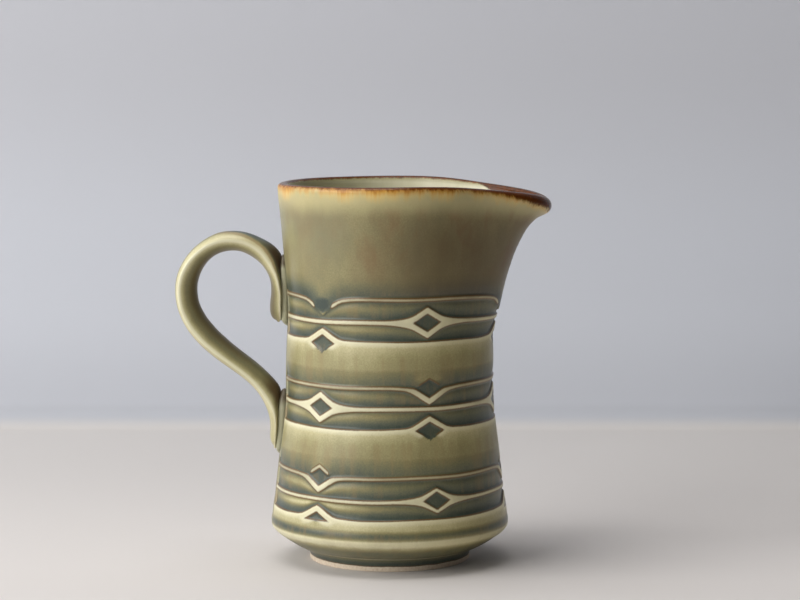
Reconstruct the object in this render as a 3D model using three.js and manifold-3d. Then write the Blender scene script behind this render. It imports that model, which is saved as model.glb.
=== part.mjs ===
// Stoneware pitcher: a waisted cylindrical vessel with a pulled pouring lip, a turned foot,
// three relief bands, and an S-shaped strap handle luted to the wall.
// Millimetres, +Z up. The vessel stands on Z = 0, the lip points to +X and the handle to -X.
import * as THREE from "three";
import { mergeVertices } from "three/addons/utils/BufferGeometryUtils.js";
import Module from "manifold-3d";

// ---------------------------------------------------------------- driving dimensions
const HEIGHT = 165; // foot to rim crest
const AXIS_X = 11.59; // the vessel's axis, so that the whole object's box is centred on the origin
const WALL = 4.2; // wall thickness at the rim and neck
const WALL_LOW = 4.8; // wall thickness low in the body
const RIM_R = 2.1; // rounding radius of the rim
const LIP_RIM_R = 2.9; // rounding radius of the rim at the tip of the lip
const GAP = 0.3; // clearance between neighbouring solids
const FOOT_H = 6.1; // height of the foot ring
const FOOT_R = 35; // outer radius of the foot ring's rest face
const FOOT_TOP_R = 38.5; // outer radius of the foot ring where it meets the wall
const FOOT_IN_R = 28.6; // inner radius of the foot ring
const FLOOR_R = 36; // radius of the floor disc
const FLOOR_TOP = 10.6; // inside floor level
const STRAP_HALF_W = 7.8; // half width of the handle strap
const SEG = 60; // facets round the vessel

// Outer silhouette of the vessel without its lip: [radius, height], foot to rim.
const PROFILE = [
  [40.0, 6.4], [43.4, 8.3], [47.4, 11.0], [50.4, 13.3], [51.8, 15.4], [51.9, 17.4],
  [51.5, 20.0], [50.9, 24.9], [50.3, 28.3], [49.9, 32.6], [49.4, 36.5], [48.8, 42.3],
  [48.0, 49.0], [47.1, 56.0], [46.35, 62.0], [45.9, 67.0], [45.6, 71.3], [45.5, 77.0],
  [45.5, 82.0], [45.4, 88.0], [45.2, 94.0], [45.0, 99.0], [44.8, 104.0], [44.8, 110.0],
  [45.0, 116.0], [45.3, 122.0], [45.8, 129.0], [46.4, 136.5], [46.9, 143.0], [47.4, 149.0],
  [47.9, 154.0], [48.4, 158.5], [48.7, 162.85],
];

// Silhouette of the lip's underside in the plane of symmetry, from where the lip leaves the wall: [distance from the axis, height].
const LIP = [
  [45.0, 97.0], [45.8, 101.9], [46.9, 107.2], [48.4, 112.5], [49.6, 117.7], [50.9, 123.0],
  [52.4, 128.2], [54.2, 133.5], [56.5, 138.7], [59.4, 144.0], [61.3, 146.6], [63.9, 149.1], [66.6, 150.9], [68.8, 152.2],
];
const LIP_FROM = 97; // height at which the lip starts to leave the wall
const LIP_WIDTH = 26.3; // degrees from the plane of symmetry at which the lip has fallen to 1/e
const LIP_DROP_WIDTH = 25.5; // the same for the fall of the rim towards the tip

// Relief bands: height of the middle ridge, of the thin upper ridge above it and of the lower step edge below it.
const BANDS = [
  { m: 107.8, u: 9.4, l: 8.0 },
  { m: 71.3, u: 8.9, l: 8.7 },
  { m: 32.6, u: 9.7, l: 7.7 },
];
const RECESS = 0.8; // depth of the ribbons between the ridges

// Side outline of the handle strap, from its upper foot round the loop to its lower foot:
// [x, z of the side that faces the fingers, x, z of the opposite side], measured from the vessel's axis.
const STRAP = [
  [-49.4, 104.5, -47.7, 104.5], [-50.8, 105.1, -46.9, 104.8], [-51.7, 106.4, -46.6, 106.2],
  [-52.4, 109.5, -46.6, 109.6], [-52.2, 112.7, -46.6, 113.0], [-51.6, 116.9, -46.6, 117.4],
  [-51.6, 120.0, -46.6, 121.4], [-52.4, 123.5, -46.6, 125.9], [-53.6, 126.1, -46.7, 129.2],
  [-55.0, 128.2, -46.8, 132.2], [-56.7, 130.2, -48.9, 135.5], [-58.6, 131.7, -51.5, 137.8],
  [-60.5, 133.1, -54.6, 139.5], [-62.7, 134.2, -57.9, 141.1], [-65.0, 135.0, -61.3, 142.4],
  [-67.1, 135.3, -64.7, 143.1], [-68.9, 135.3, -68.0, 143.4], [-70.6, 135.1, -71.4, 143.2],
  [-72.5, 134.7, -74.6, 142.6], [-74.3, 134.1, -77.5, 141.3], [-76.1, 133.2, -80.3, 139.8],
  [-77.8, 132.0, -82.9, 137.9], [-79.3, 130.5, -85.3, 135.9], [-80.6, 128.9, -87.3, 133.7],
  [-81.7, 127.1, -89.1, 131.3], [-82.6, 125.2, -90.6, 128.8], [-83.3, 123.2, -91.9, 126.0],
  [-83.8, 121.3, -92.7, 123.0], [-84.1, 119.2, -93.2, 120.0], [-84.1, 117.1, -93.3, 117.0],
  [-83.9, 115.1, -93.0, 113.9], [-83.6, 113.1, -92.5, 110.8], [-83.0, 111.1, -91.6, 107.8],
  [-82.1, 109.2, -90.5, 105.1], [-81.0, 107.2, -89.2, 102.5], [-79.8, 105.2, -87.7, 100.1],
  [-78.3, 103.4, -86.0, 97.8], [-76.9, 101.7, -84.2, 95.7], [-75.4, 100.0, -82.3, 93.6],
  [-72.0, 96.9, -78.2, 89.9], [-68.4, 93.6, -73.9, 86.6], [-64.3, 90.4, -69.8, 83.7],
  [-60.2, 87.2, -65.7, 80.8], [-56.1, 83.8, -61.8, 77.6], [-52.1, 79.9, -58.4, 74.1],
  [-50.2, 77.8, -57.0, 72.3], [-48.5, 75.6, -55.9, 70.4], [-47.6, 73.8, -55.0, 68.5],
  [-47.6, 71.3, -54.1, 66.5], [-47.8, 68.4, -53.3, 64.2], [-48.0, 65.5, -52.7, 61.8],
  [-48.4, 62.4, -52.3, 59.4], [-48.6, 59.1, -52.3, 57.1], [-48.8, 56.2, -52.5, 54.9],
  [-49.1, 53.6, -52.5, 52.8], [-49.3, 51.4, -52.2, 51.3], [-49.6, 49.6, -51.5, 50.1],
  [-49.8, 48.5, -50.7, 49.0],
];
// Half width of the strap along it, as a share of STRAP_HALF_W: [share of its length, width].
const STRAP_WIDTH = [
  [0.0, 0.5], [0.012, 0.8], [0.03, 1.0], [0.1, 1.08], [0.22, 1.0], [0.5, 0.97],
  [0.78, 0.9], [0.9, 0.92], [0.96, 0.86], [0.985, 0.68], [1.0, 0.4],
];

// ---------------------------------------------------------------- helpers
const lerp = (a, b, t) => a + (b - a) * t;
const clamp01 = (t) => Math.min(1, Math.max(0, t));
// Value of a table of [value, position] or [position, value] rows at a position, linear between rows.
function table(rows, at, pos = 0, val = 1) {
  if (at <= rows[0][pos]) return rows[0][val];
  for (let i = 1; i < rows.length; i++)
    if (at <= rows[i][pos]) {
      const t = (at - rows[i - 1][pos]) / (rows[i][pos] - rows[i - 1][pos]);
      return lerp(rows[i - 1][val], rows[i][val], t);
    }
  return rows[rows.length - 1][val];
}
const radiusAt = (z) => table(PROFILE, z, 1, 0);

// Depth of the relief at a height: ribbons lie below the surface, ridges and plain zones on it.
function reliefAt(z) {
  for (const b of BANDS) {
    const U = b.m + b.u, L = b.m - b.l;
    if (z > U + 6 || z < L - 0.9) continue;
    return table([
      [L - 0.9, 0], [L + 0.1, RECESS], [b.m - 1.5, RECESS], [b.m - 0.6, 0.05], [b.m + 0.6, 0.05],
      [b.m + 1.5, RECESS], [U - 1.1, RECESS], [U - 0.3, 0.15], [U + 0.3, 0.15], [U + 1.2, 0.7], [U + 6, 0],
    ], z);
  }
  return 0;
}

// ---------------------------------------------------------------- the lip
// Length along a polyline of [r, z] rows, and the point at a share of it.
function lengths(rows) {
  const s = [0];
  for (let i = 1; i < rows.length; i++)
    s.push(s[i - 1] + Math.hypot(rows[i][0] - rows[i - 1][0], rows[i][1] - rows[i - 1][1]));
  return s.map((v) => v / s[s.length - 1]);
}
const LIP_S = lengths(LIP);
function lipAt(t) {
  for (let i = 1; i < LIP.length; i++)
    if (t <= LIP_S[i]) {
      const u = (t - LIP_S[i - 1]) / (LIP_S[i] - LIP_S[i - 1]);
      return [lerp(LIP[i - 1][0], LIP[i][0], u), lerp(LIP[i - 1][1], LIP[i][1], u)];
    }
  return LIP[LIP.length - 1];
}
const WALL_TOP = PROFILE[PROFILE.length - 1][1];
// How far the lip reaches at an angle from its plane of symmetry, in degrees: [outwards, downwards].
const lipShare = (deg) => [
  Math.exp(-Math.pow(Math.abs(deg) / LIP_WIDTH, 2.2)),
  Math.exp(-Math.pow(Math.hypot(deg, 2) / LIP_DROP_WIDTH, 1.43)),
];
// Radius and height of the outer surface at an angle (degrees from the lip) and an unlipped height.
function outer(deg, z, relief) {
  const r = radiusAt(z) - (relief ? reliefAt(z) : 0);
  if (z <= LIP_FROM) return [r, z];
  const [a, d] = lipShare(deg);
  const p = lipAt((z - LIP_FROM) / (WALL_TOP - LIP_FROM));
  return [r + (p[0] - radiusAt(z)) * a, z + (p[1] - z) * d];
}
const point = (deg, z, relief = false) => {
  const [r, h] = outer(deg, z, relief), a = (deg * Math.PI) / 180;
  return new THREE.Vector3(r * Math.cos(a), r * Math.sin(a), h);
};
// Outward normal of the smooth outer surface, and the direction up along it.
function frameAt(deg, z) {
  const e = 0.5, z0 = Math.max(PROFILE[0][1], z - e), z1 = Math.min(WALL_TOP, z + e);
  const up = point(deg, z1).sub(point(deg, z0)).normalize();
  const round = point(deg + 0.5, z).sub(point(deg - 0.5, z));
  const n = new THREE.Vector3().crossVectors(round, up).normalize();
  return [n, up];
}

// ---------------------------------------------------------------- body wall
// One row per ring of vertices, outer foot to rim to inner foot: a function of the angle giving the vertex.
function wallRows() {
  const rows = [];
  const zs = new Set();
  for (const [, z] of PROFILE) zs.add(z);
  for (const b of BANDS)
    for (const d of [b.u + 6, b.u + 1.2, b.u, b.u - 1.1, 1.5, 0, -1.5, -b.l + 0.1, -b.l - 0.9])
      zs.add(Math.round((b.m + d) * 10) / 10);
  const outerZ = [...zs].sort((a, b) => a - b).filter((z, i, all) => {
    const near = BANDS.some((b) => PROFILE.some((p) => p[1] === z) && z < b.m + b.u + 5 && z > b.m - b.l - 1);
    return !near || z === PROFILE[0][1];
  });
  for (const z of outerZ) rows.push((deg) => point(deg, z, true));
  const top = outerZ[outerZ.length - 1];
  const rimR = (deg) => lerp(RIM_R, LIP_RIM_R, lipShare(deg)[0]);
  for (const k of [1, 2, 3, 4]) {
    const a = (k * Math.PI) / 5;
    rows.push((deg) => {
      const [n, up] = frameAt(deg, top), r = rimR(deg);
      return point(deg, top).addScaledVector(n, r * (Math.cos(a) - 1)).addScaledVector(up, r * Math.sin(a));
    });
  }
  const thick = (deg, z) => lerp(WALL_LOW, 2 * rimR(deg), clamp01((z - 30) / (top - 30)));
  for (const z of [top, 156, 150, 143, 134, 124, 112, 99, 84, 68, 52, 38, 26, 19])
    rows.push((deg) => {
      const [n] = frameAt(deg, z);
      return point(deg, z).addScaledVector(n, -thick(deg, z));
    });
  // inside corner between wall and floor, then the seat round the floor disc
  for (const [r, z] of [[45.4, 15.2], [43.3, 12.9], [40.2, 11.3], [FLOOR_R + GAP, FLOOR_TOP], [FLOOR_R + GAP, PROFILE[0][1]]])
    rows.push((deg) => {
      const a = (deg * Math.PI) / 180;
      return new THREE.Vector3(r * Math.cos(a), r * Math.sin(a), z);
    });
  rows.push(rows[0]);
  return rows;
}
function wallGeometry() {
  const rows = wallRows();
  const outline = rows.map((f) => { const p = f(180); return new THREE.Vector2(Math.hypot(p.x, p.y), p.z); });
  const g = new THREE.LatheGeometry(outline, SEG);
  const pos = g.getAttribute("position");
  for (let i = 0; i <= SEG; i++)
    for (let j = 0; j < rows.length; j++) {
      const deg = ((((i % SEG) * 360) / SEG + 180) % 360) - 180;
      const p = rows[j](deg);
      pos.setXYZ(i * rows.length + j, p.x, p.y, p.z);
    }
  return g;
}

// A turned piece: [radius, height] rows round the Z axis.
function turned(rows, seg = SEG) {
  const g = new THREE.LatheGeometry(rows.map(([r, z]) => new THREE.Vector2(r, z)), seg);
  const pos = g.getAttribute("position");
  for (let i = 0; i <= seg; i++)
    for (let j = 0; j < rows.length; j++) {
      const a = ((i % seg) * 2 * Math.PI) / seg;
      pos.setXYZ(i * rows.length + j, rows[j][0] * Math.cos(a), rows[j][0] * Math.sin(a), rows[j][1]);
    }
  return g;
}

// ---------------------------------------------------------------- handle strap
const strapMid = STRAP.map(([ix, iz, ox, oz]) => [(ix + ox) / 2, (iz + oz) / 2]);
const strapS = lengths(strapMid);
const SIDES = 16;
// The strap as a loft of lens-shaped sections; grow swells it by a clearance on every side.
function strapGeometry(grow = 0) {
  const n = STRAP.length - 1;
  const g = new THREE.CylinderGeometry(1, 1, 1, SIDES, n);
  const pos = g.getAttribute("position");
  for (let i = 0; i < pos.count; i++) {
    const k = Math.round((0.5 - pos.getY(i)) * n);
    const [ix, iz, ox, oz] = STRAP[k];
    const sx = pos.getX(i), sz = pos.getZ(i), r = Math.hypot(sx, sz);
    const across = r < 1e-6 ? 0 : sx / r, thick = r < 1e-6 ? 0 : sz / r;
    const half = Math.hypot(ox - ix, oz - iz) / 2;
    const hx = (ox - ix) / 2 / half, hz = (oz - iz) / 2 / half;
    const t = Math.sign(thick) * Math.pow(Math.abs(thick), 1.24) * (half + grow) * Math.min(1, r);
    const w = across * (STRAP_HALF_W * table(STRAP_WIDTH, strapS[k]) + grow) * Math.min(1, r);
    let ex = 0, ez = 0;
    if (grow && (k === 0 || k === n)) {
      const j = k === 0 ? 1 : n - 1;
      const dx = strapMid[k][0] - strapMid[j][0], dz = strapMid[k][1] - strapMid[j][1], l = Math.hypot(dx, dz);
      ex = (dx / l) * grow;
      ez = (dz / l) * grow;
    }
    pos.setXYZ(i, strapMid[k][0] + hx * t + ex, w, strapMid[k][1] + hz * t + ez);
  }
  return g;
}

// ---------------------------------------------------------------- solids that are cut to fit
const wasm = await Module();
wasm.setup();
function solid(geometry) {
  const g = geometry.clone();
  g.deleteAttribute("normal");
  g.deleteAttribute("uv");
  const m = mergeVertices(g, 1e-3);
  return new wasm.Manifold(new wasm.Mesh({
    numProp: 3,
    vertProperties: new Float32Array(m.getAttribute("position").array),
    triVerts: new Uint32Array(m.index.array),
  }));
}
function geometryOf(made) {
  const m = made.getMesh();
  const g = new THREE.BufferGeometry();
  g.setAttribute("position", new THREE.BufferAttribute(new Float32Array(m.vertProperties), 3));
  g.setIndex(new THREE.BufferAttribute(new Uint32Array(m.triVerts), 1));
  return g;
}
// Turns a geometry's faces round if they point inwards.
function outwards(g) {
  const s = solid(g);
  if (s.volume() >= 0) return g;
  const idx = g.index.array;
  for (let i = 0; i < idx.length; i += 3) [idx[i + 1], idx[i + 2]] = [idx[i + 2], idx[i + 1]];
  return g;
}
// Luting pad of slip between strap and wall: a block of the pad's side outline,
// cut back from the strap and from the wall by the clearance.
const strapClear = solid(outwards(strapGeometry(GAP)));
const wallClear = solid(outwards(turned([
  [0, PROFILE[0][1]], ...PROFILE.map(([r, z]) => [r + GAP, z]), [0, WALL_TOP],
])));
function pad(outline, halfWidth) {
  const shape = new THREE.Shape(outline.map(([x, z]) => new THREE.Vector2(x, z)));
  const g = new THREE.ExtrudeGeometry(shape, { depth: 2 * halfWidth, bevelEnabled: false, steps: 1 });
  g.rotateX(Math.PI / 2);
  g.translate(0, halfWidth, 0);
  const cut = solid(g).subtract(strapClear).subtract(wallClear);
  const parts = cut.decompose().sort((a, b) => b.volume() - a.volume());
  return geometryOf(parts[0]);
}

// ---------------------------------------------------------------- materials and assembly
const glaze = new THREE.MeshStandardMaterial({ color: 0x8f8a66, roughness: 0.32, metalness: 0 });
const glazeHandle = new THREE.MeshStandardMaterial({ color: 0x9a9468, roughness: 0.32, metalness: 0 });
const pooled = new THREE.MeshStandardMaterial({ color: 0x5f6a66, roughness: 0.3, metalness: 0 });
const inside = new THREE.MeshStandardMaterial({ color: 0xa5a284, roughness: 0.3, metalness: 0 });
const foot = new THREE.MeshStandardMaterial({ color: 0xc9b29a, roughness: 0.75, metalness: 0 });

const pitcher = new THREE.Group();
pitcher.position.x = AXIS_X;
function piece(name, geometry, material) {
  const mesh = new THREE.Mesh(geometry, material);
  mesh.name = name;
  pitcher.add(mesh);
  return mesh;
}

piece("body_wall", outwards(wallGeometry()), glaze);
piece("floor_disc", outwards(turned([
  [0, PROFILE[0][1]], [FLOOR_R, PROFILE[0][1]], [FLOOR_R, FLOOR_TOP], [24, FLOOR_TOP - 0.3], [0, FLOOR_TOP - 0.5],
])), inside);
piece("foot_ring", outwards(turned([
  [FOOT_IN_R, 0], [FOOT_R, 0], [FOOT_R, 2.1], [FOOT_R + 0.6, 3.6], [FOOT_R + 1.8, 5.0], [FOOT_TOP_R, FOOT_H],
  [FOOT_IN_R + 1.2, FOOT_H], [FOOT_IN_R + 0.3, 4.0], [FOOT_IN_R, 2.1], [FOOT_IN_R, 0],
])), foot);
piece("handle", outwards(strapGeometry()), glazeHandle);
piece("upper_handle_joint", pad([
  [-43.0, 101.9], [-44.9, 101.9], [-46.6, 103.6], [-48.0, 105.4], [-48.0, 122.0], [-47.6, 126.5], [-43.0, 126.5],
], 6.6), pooled);
piece("lower_handle_joint", pad([
  [-44.0, 73.4], [-49.3, 73.4], [-49.6, 66.0], [-50.0, 60.0], [-50.3, 52.0], [-50.2, 49.2], [-49.0, 46.4], [-44.0, 46.0],
], 5.9), pooled);

export default pitcher;
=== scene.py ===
import math

import bpy
import numpy as np
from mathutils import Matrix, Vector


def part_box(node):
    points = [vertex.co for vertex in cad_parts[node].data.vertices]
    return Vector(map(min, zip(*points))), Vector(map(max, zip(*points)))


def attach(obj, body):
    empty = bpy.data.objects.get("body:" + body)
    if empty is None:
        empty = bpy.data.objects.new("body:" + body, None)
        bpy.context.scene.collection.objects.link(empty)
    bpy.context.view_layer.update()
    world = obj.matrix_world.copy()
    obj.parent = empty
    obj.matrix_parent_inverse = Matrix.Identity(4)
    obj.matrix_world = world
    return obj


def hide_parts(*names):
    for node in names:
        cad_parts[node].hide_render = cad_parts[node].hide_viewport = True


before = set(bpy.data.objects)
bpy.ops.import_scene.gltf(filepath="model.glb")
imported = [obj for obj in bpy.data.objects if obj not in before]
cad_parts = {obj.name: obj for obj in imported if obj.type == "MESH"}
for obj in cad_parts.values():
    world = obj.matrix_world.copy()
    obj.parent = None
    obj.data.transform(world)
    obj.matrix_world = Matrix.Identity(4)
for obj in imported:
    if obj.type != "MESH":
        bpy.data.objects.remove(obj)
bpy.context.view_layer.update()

# ------------------------------------------------------------------ dimensions, in millimetres from the vessel's axis
_lo, _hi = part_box("body_wall")
_flo, _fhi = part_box("foot_ring")
AXIS_X = 1000.0 * (_flo.x + _fhi.x) / 2  # the foot is round, so its middle is the vessel's axis
MM = 0.001
WALL_LOW = 4.8
RIM_R = 2.1
LIP_RIM_R = 3.75
STRAP_HALF_W = 7.8
LIP_FROM = 97.0
LIP_WIDTH = 26.3
LIP_DROP_WIDTH = 25.5
WALL_TOP = 162.85

# Outer silhouette without the lip: radius, height.
PROFILE = [
    (40.0, 6.4), (43.4, 8.3), (47.4, 11.0), (50.4, 13.3), (51.8, 15.4), (51.9, 17.4),
    (51.5, 20.0), (50.9, 24.9), (50.3, 28.3), (49.9, 32.6), (49.4, 36.5), (48.8, 42.3),
    (48.0, 49.0), (47.1, 56.0), (46.35, 62.0), (45.9, 67.0), (45.6, 71.3), (45.5, 77.0),
    (45.5, 82.0), (45.4, 88.0), (45.2, 94.0), (45.0, 99.0), (44.8, 104.0), (44.8, 110.0),
    (45.0, 116.0), (45.3, 122.0), (45.8, 129.0), (46.4, 136.5), (46.9, 143.0), (47.4, 149.0),
    (47.9, 154.0), (48.4, 158.5), (48.7, 162.85),
]
# Underside of the lip in the plane of symmetry: distance from the axis, height.
LIP = [
    (45.0, 97.0), (45.8, 101.9), (46.9, 107.2), (48.4, 112.5), (49.6, 117.7), (50.9, 123.0),
    (52.5, 128.2), (54.4, 133.5), (56.8, 138.7), (59.8, 144.0), (61.8, 146.4), (64.4, 148.6), (66.7, 149.6), (68.5, 150.5),
]
# Side outline of the strap: x, z on the fingers' side, x, z on the opposite side.
STRAP = [
    (-49.4, 104.5, -47.7, 104.5), (-50.8, 105.1, -46.9, 104.8), (-51.7, 106.4, -46.6, 106.2),
    (-52.4, 109.5, -46.6, 109.6), (-52.2, 112.7, -46.6, 113.0), (-51.6, 116.9, -46.6, 117.4),
    (-51.6, 120.0, -46.6, 121.4), (-52.4, 123.5, -46.6, 125.9), (-53.6, 126.1, -46.7, 129.2),
    (-55.0, 128.2, -46.8, 132.2), (-56.7, 130.2, -48.9, 135.5), (-58.6, 131.7, -51.5, 137.8),
    (-60.5, 133.1, -54.6, 139.5), (-62.7, 134.2, -57.9, 141.1), (-65.0, 135.0, -61.3, 142.4),
    (-67.1, 135.3, -64.7, 143.1), (-68.9, 135.3, -68.0, 143.4), (-70.6, 135.1, -71.4, 143.2),
    (-72.5, 134.7, -74.6, 142.6), (-74.3, 134.1, -77.5, 141.3), (-76.1, 133.2, -80.3, 139.8),
    (-77.8, 132.0, -82.9, 137.9), (-79.3, 130.5, -85.3, 135.9), (-80.6, 128.9, -87.3, 133.7),
    (-81.7, 127.1, -89.1, 131.3), (-82.6, 125.2, -90.6, 128.8), (-83.3, 123.2, -91.9, 126.0),
    (-83.8, 121.3, -92.7, 123.0), (-84.1, 119.2, -93.2, 120.0), (-84.1, 117.1, -93.3, 117.0),
    (-83.9, 115.1, -93.0, 113.9), (-83.6, 113.1, -92.5, 110.8), (-83.0, 111.1, -91.6, 107.8),
    (-82.1, 109.2, -90.5, 105.1), (-81.0, 107.2, -89.2, 102.5), (-79.8, 105.2, -87.7, 100.1),
    (-78.3, 103.4, -86.0, 97.8), (-76.9, 101.7, -84.2, 95.7), (-75.4, 100.0, -82.3, 93.6),
    (-72.0, 96.9, -78.2, 89.9), (-68.4, 93.6, -73.9, 86.6), (-64.3, 90.4, -69.8, 83.7),
    (-60.2, 87.2, -65.7, 80.8), (-56.1, 83.8, -61.8, 77.6), (-52.1, 79.9, -58.4, 74.1),
    (-50.2, 77.8, -57.0, 72.3), (-48.5, 75.6, -55.9, 70.4), (-47.6, 73.8, -55.0, 68.5),
    (-47.6, 71.3, -54.1, 66.5), (-47.8, 68.4, -53.3, 64.2), (-48.0, 65.5, -52.7, 61.8),
    (-48.4, 62.4, -52.3, 59.4), (-48.6, 59.1, -52.3, 57.1), (-48.8, 56.2, -52.5, 54.9),
    (-49.1, 53.6, -52.5, 52.8), (-49.3, 51.4, -52.2, 51.3), (-49.6, 49.6, -51.5, 50.1),
    (-49.8, 48.5, -50.7, 49.0),
]
STRAP_WIDTH = [
    (0.0, 0.5), (0.012, 0.8), (0.03, 1.0), (0.1, 1.08), (0.22, 1.0), (0.5, 0.97),
    (0.78, 0.9), (0.9, 0.92), (0.96, 0.86), (0.985, 0.68), (1.0, 0.4),
]

# Where the strap's arris lies between its two faces, along it: 0 midway, 1 at the face away from the fingers.
ARRIS = [
    (0.0, 0.5), (0.02, 0.70), (0.07, 0.72), (0.09, 0.50), (0.12, 0.12), (0.15, -0.20), (0.17, -0.25), (0.20, -0.05),
    (0.235, 0.08), (0.285, 0.14), (0.34, 0.28), (0.40, 0.45), (0.46, 0.56), (0.53, 0.56), (0.60, 0.5), (0.69, 0.42),
    (0.79, 0.45), (0.85, 0.50), (0.88, 0.30), (0.905, -0.05), (0.93, -0.32), (0.955, -0.50), (0.98, -0.55), (1.0, -0.3),
]

# Relief bands, bottom to top. m: height of the middle ridge; u: thin ridge above it; l: shelf edge below it;
# cols: azimuths of the five motif columns; first: motif of the first column ("V" = split ridges with two lozenges, "M" = framed lozenge).
BANDS = [
    {"m": 32.6, "u": 9.7, "l": 7.9, "cols": (-37.9, 24.0, 85.3, 146.5, 207.0), "first": "V", "r": 49.9, "apex": 2.7},
    {"m": 71.3, "u": 8.9, "l": 8.8, "cols": (-40.2, 21.9, 83.2, 145.0, 206.0), "first": "M", "r": 45.6, "apex": 3.0},
    {"m": 107.8, "u": 9.7, "l": 8.2, "cols": (-39.4, 21.0, 84.7, 145.0, 206.0), "first": "V", "r": 44.8, "apex": 2.7},
]


# ------------------------------------------------------------------ helpers
def smooth_table(xs, ys):
    """Monotone cubic curve through a table's rows."""
    xs, ys = np.asarray(xs, float), np.asarray(ys, float)
    h = np.diff(xs)
    d = np.diff(ys) / h
    m = np.zeros_like(ys)
    same = d[:-1] * d[1:] > 0
    m[1:-1] = np.where(same, 2 * d[:-1] * d[1:] / np.where(same, d[:-1] + d[1:], 1.0), 0.0)
    m[0], m[-1] = d[0], d[-1]

    def f(x):
        x = np.clip(np.asarray(x, float), xs[0], xs[-1])
        i = np.clip(np.searchsorted(xs, x, side="right") - 1, 0, len(h) - 1)
        t = (x - xs[i]) / h[i]
        return (
            ys[i] * (1 + 2 * t) * (1 - t) ** 2 + m[i] * h[i] * t * (1 - t) ** 2
            + ys[i + 1] * t * t * (3 - 2 * t) + m[i + 1] * h[i] * t * t * (t - 1)
        )

    return f


def step(x, lo, hi):
    t = np.clip((x - lo) / (hi - lo), 0, 1)
    return t * t * (3 - 2 * t)


def normalised(v):
    return v / np.linalg.norm(v, axis=-1, keepdims=True)


radius_at = smooth_table([z for _, z in PROFILE], [r for r, _ in PROFILE])
_lip = np.array(LIP)
_lip_s = np.concatenate([[0], np.cumsum(np.linalg.norm(np.diff(_lip, axis=0), axis=1))])
_lip_s /= _lip_s[-1]
lip_x = smooth_table(_lip_s, _lip[:, 0])
lip_z = smooth_table(_lip_s, _lip[:, 1])


def lip_share(deg):
    """How far the lip reaches out and down at an angle from its plane of symmetry."""
    return (
        np.exp(-np.power(np.abs(deg) / LIP_WIDTH, 2.2)),
        np.exp(-np.power(np.hypot(deg, 2) / LIP_DROP_WIDTH, 1.43)),
    )


def outer(deg, z):
    """Points of the smooth outer surface; deg is measured from the lip, -180 to 180."""
    r = radius_at(z)
    a, d = lip_share(deg)
    t = np.clip((z - LIP_FROM) / (WALL_TOP - LIP_FROM), 0, 1)
    on = z > LIP_FROM
    r2 = np.where(on, r + (lip_x(t) - r) * a, r)
    z2 = np.where(on, z + (lip_z(t) - z) * d, z)
    rad = np.radians(deg)
    z2 = z2 + 0.0065 * r2 * np.cos(rad) * step(z, 110, 160)  # the rim stands a little high at the lip
    return np.stack([r2 * np.cos(rad), r2 * np.sin(rad), z2], -1)


def wrap(deg):
    return (deg + 180.0) % 360.0 - 180.0


def frame_at(deg, z):
    e = 0.5
    z0, z1 = np.clip(z - e, PROFILE[0][1], None), np.clip(z + e, None, WALL_TOP)
    up = normalised(outer(deg, z1) - outer(deg, z0))
    around = outer(deg + 0.4, z) - outer(deg - 0.4, z)
    return normalised(np.cross(around, up)), up


def mesh_object(name, verts_mm, faces, attributes=None, smooth=True):
    """A mesh piece from points in millimetres from the vessel's axis."""
    v = np.asarray(verts_mm, float).reshape(-1, 3).copy()
    v[:, 0] += AXIS_X
    v *= MM
    f = np.asarray(faces, int)
    if f.shape[1] == 4:
        tri = np.concatenate([f[:, [0, 1, 2]], f[:, [0, 2, 3]]])
    else:
        tri = f
    volume = np.einsum("ij,ij->", v[tri[:, 0]], np.cross(v[tri[:, 1]], v[tri[:, 2]]))
    if volume < 0:
        f = f[:, ::-1]
    me = bpy.data.meshes.new(name)
    me.from_pydata(v.tolist(), [], f.tolist())
    me.update()
    if smooth:
        me.polygons.foreach_set("use_smooth", [True] * len(me.polygons))
    for key, values in (attributes or {}).items():
        a = me.attributes.new(key, "FLOAT", "POINT")
        a.data.foreach_set("value", np.asarray(values, np.float32).ravel())
    ob = bpy.data.objects.new(name, me)
    bpy.context.scene.collection.objects.link(ob)
    return ob


def ring_faces(rows, cols, close_rows=False):
    """Quads of a grid of rows by cols points whose columns go all the way round."""
    n = rows if close_rows else rows - 1
    i, j = np.meshgrid(np.arange(n), np.arange(cols), indexing="ij")
    i2, j2 = (i + 1) % rows, (j + 1) % cols
    return np.stack([i * cols + j, i * cols + j2, i2 * cols + j2, i2 * cols + j], -1).reshape(-1, 4)


def spread(lo, hi, density, step_mm):
    """Positions from lo to hi, closer together where density(x) is high; step_mm is the spacing at density 1."""
    x = np.linspace(lo, hi, 8001)
    d = density(x) / step_mm
    s = np.concatenate([[0], np.cumsum((d[1:] + d[:-1]) / 2 * np.diff(x))])
    n = max(2, int(math.ceil(s[-1])))
    return np.interp(np.linspace(0, s[-1], n + 1), s, x)


# ------------------------------------------------------------------ relief
M_FRAME = smooth_table([0, 2, 4, 6, 7.5, 9, 11, 13, 15, 17, 20, 60], [6.5, 5.3, 4.1, 2.95, 2.35, 1.9, 1.5, 1.2, 1.0, 0.85, 0.75, 0.72])
V_LOW = ([0, 3.1, 5.5, 8.3, 10.2, 13.3, 17, 24, 60], [6.5, 4.6, 3.0, 1.4, 0.7, 0.3, 0.1, 0.0, 0.0])  # fall of the upper ridge's lower edge below its own level
V_HIGH = ([0, 6.0, 7.0, 8.3, 10.2, 13.3, 17, 24, 60], [5.0, 1.35, 0.95, 0.75, 0.55, 0.25, 0.1, 0.0, 0.0])
L_RISE = ([0, 3.0, 5.2, 8.1, 10.6, 14.4, 20, 60], [1.0, 0.707, 0.466, 0.19, 0.086, 0.043, 0.0, 0.0])


def lozenge(x, z, w, h):
    """Distance in mm from the edge of a lozenge, positive inside it."""
    return (1 - (np.abs(x) / w + np.abs(z) / h)) * (w * h) / math.hypot(w, h)


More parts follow.
